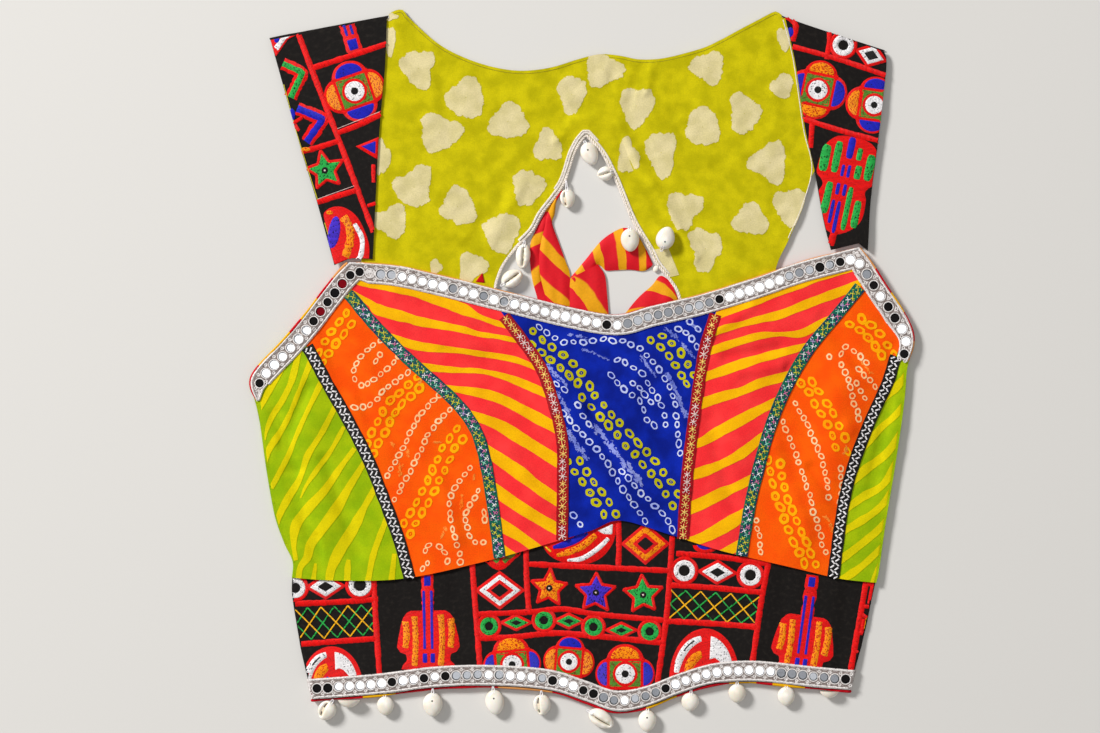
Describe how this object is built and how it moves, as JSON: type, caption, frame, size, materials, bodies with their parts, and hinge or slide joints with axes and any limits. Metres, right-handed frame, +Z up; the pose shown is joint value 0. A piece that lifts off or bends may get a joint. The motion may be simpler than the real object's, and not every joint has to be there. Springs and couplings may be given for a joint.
{
  "type": "choli blouse",
  "caption": "Cropped patchwork blouse laid flat: printed front panels with taped seams, mirrored lace edges, embroidered band and back yoke with a keyhole, cowrie trim.",
  "frame": {"origin": "on the surface that it lies on, under the middle of its outline", "axes": "+X to the right of the garment as it is seen from above, +Y from the hem towards the neck, +Z up from the surface"},
  "size_m": [0.4434, 0.4806, 0.0095],
  "materials": {
    "blue_bandhani": "tie-dyed cotton print",
    "pink_leheriya": "wave-dyed satin cotton",
    "orange_bandhani": "tie-dyed cotton print",
    "green_leheriya": "wave-dyed cotton",
    "red_tape": "woven ribbon",
    "green_tape": "woven ribbon",
    "black_tape": "woven ribbon",
    "mirror_lace": "net lace set with small mirrors",
    "striped_binding": "striped satin edge",
    "embroidered_black": "dense thread embroidery",
    "lime_batik": "block-dyed cotton",
    "cream_cord": "twisted cotton cord",
    "striped_tie": "striped satin",
    "cowrie": "polished sea shell"
  },
  "bodies": {
    "root": {"back_lining": "lime_batik", "back_outer": "embroidered_black", "band": "embroidered_black", "binding_arm_left": "striped_binding", "binding_arm_right": "striped_binding", "binding_hem": "striped_binding", "binding_neck": "striped_binding", "front_centre": "blue_bandhani", "front_inner_left": "pink_leheriya", "front_inner_right": "pink_leheriya", "front_mid_left": "orange_bandhani", "front_mid_right": "orange_bandhani", "front_side_left": "green_leheriya", "front_side_right": "green_leheriya", "hem_cowrie_01": "cowrie", "hem_cowrie_02": "cowrie", "hem_cowrie_03": "cowrie", "hem_cowrie_04": "cowrie", "hem_cowrie_05": "cowrie", "hem_cowrie_06": "cowrie", "hem_cowrie_07": "cowrie", "hem_cowrie_08": "cowrie", "hem_cowrie_09": "cowrie", "hem_cowrie_10": "cowrie", "hem_cowrie_11": "cowrie", "hem_cowrie_12": "cowrie", "key_cowrie_01": "cowrie", "key_cowrie_02": "cowrie", "key_cowrie_03": "cowrie", "key_cowrie_04": "cowrie", "key_cowrie_05": "cowrie", "key_cowrie_06": "cowrie", "key_cowrie_07": "cowrie", "key_cowrie_08": "cowrie", "keyhole_cord": "cream_cord", "lace_arm_left": "mirror_lace", "lace_arm_right": "mirror_lace", "lace_hem": "mirror_lace", "lace_neck": "mirror_lace", "strap_left": "embroidered_black", "strap_right": "embroidered_black", "tape_black_left": "black_tape", "tape_black_right": "black_tape", "tape_green_left": "green_tape", "tape_green_right": "green_tape", "tape_red_left": "red_tape", "tape_red_right": "red_tape", "tie_left": "striped_tie", "tie_right": "striped_tie", "tie_tail": "striped_tie"}
  },
  "joints": []
}
